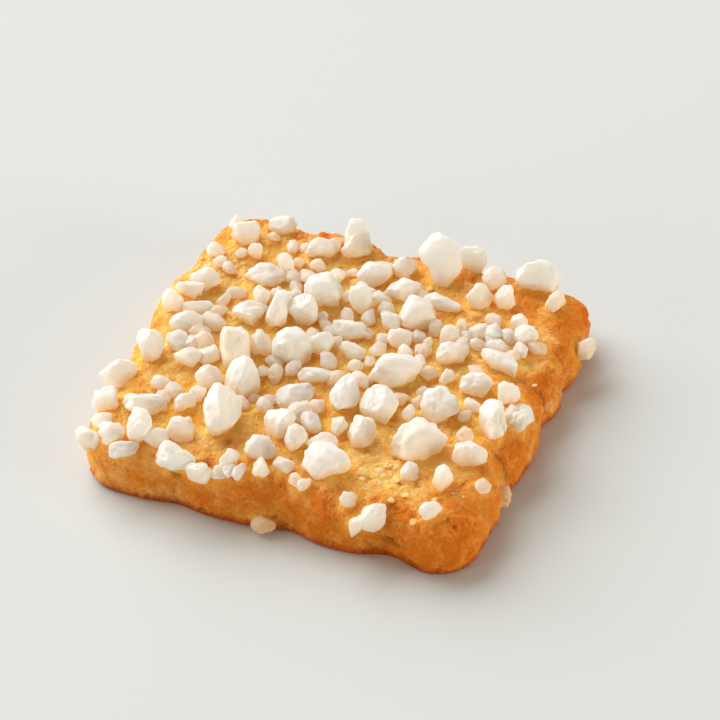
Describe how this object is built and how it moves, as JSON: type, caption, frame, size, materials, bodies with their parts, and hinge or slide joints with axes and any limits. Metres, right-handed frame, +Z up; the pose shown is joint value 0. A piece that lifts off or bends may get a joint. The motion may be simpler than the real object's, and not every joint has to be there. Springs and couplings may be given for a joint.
{
  "type": "butter biscuit with nib sugar",
  "caption": "Small square butter biscuit with a scalloped edge and a rounded golden rim, its flat top covered in coarse white sugar nibs baked into the crust.",
  "frame": {"origin": "middle of the flat base, on the surface that the biscuit lies on", "axes": "+Z up through the sugared top, +X to the right and +Y to the back as the biscuit lies in front of the viewer"},
  "size_m": [0.0546, 0.0525, 0.0126],
  "materials": {
    "baked_dough": "matte golden-brown baked crust with a fine crumb",
    "nib_sugar": "chalky white pressed sugar, slightly translucent"
  },
  "bodies": {
    "root": {"biscuit": "baked_dough"}
  },
  "joints": []
}
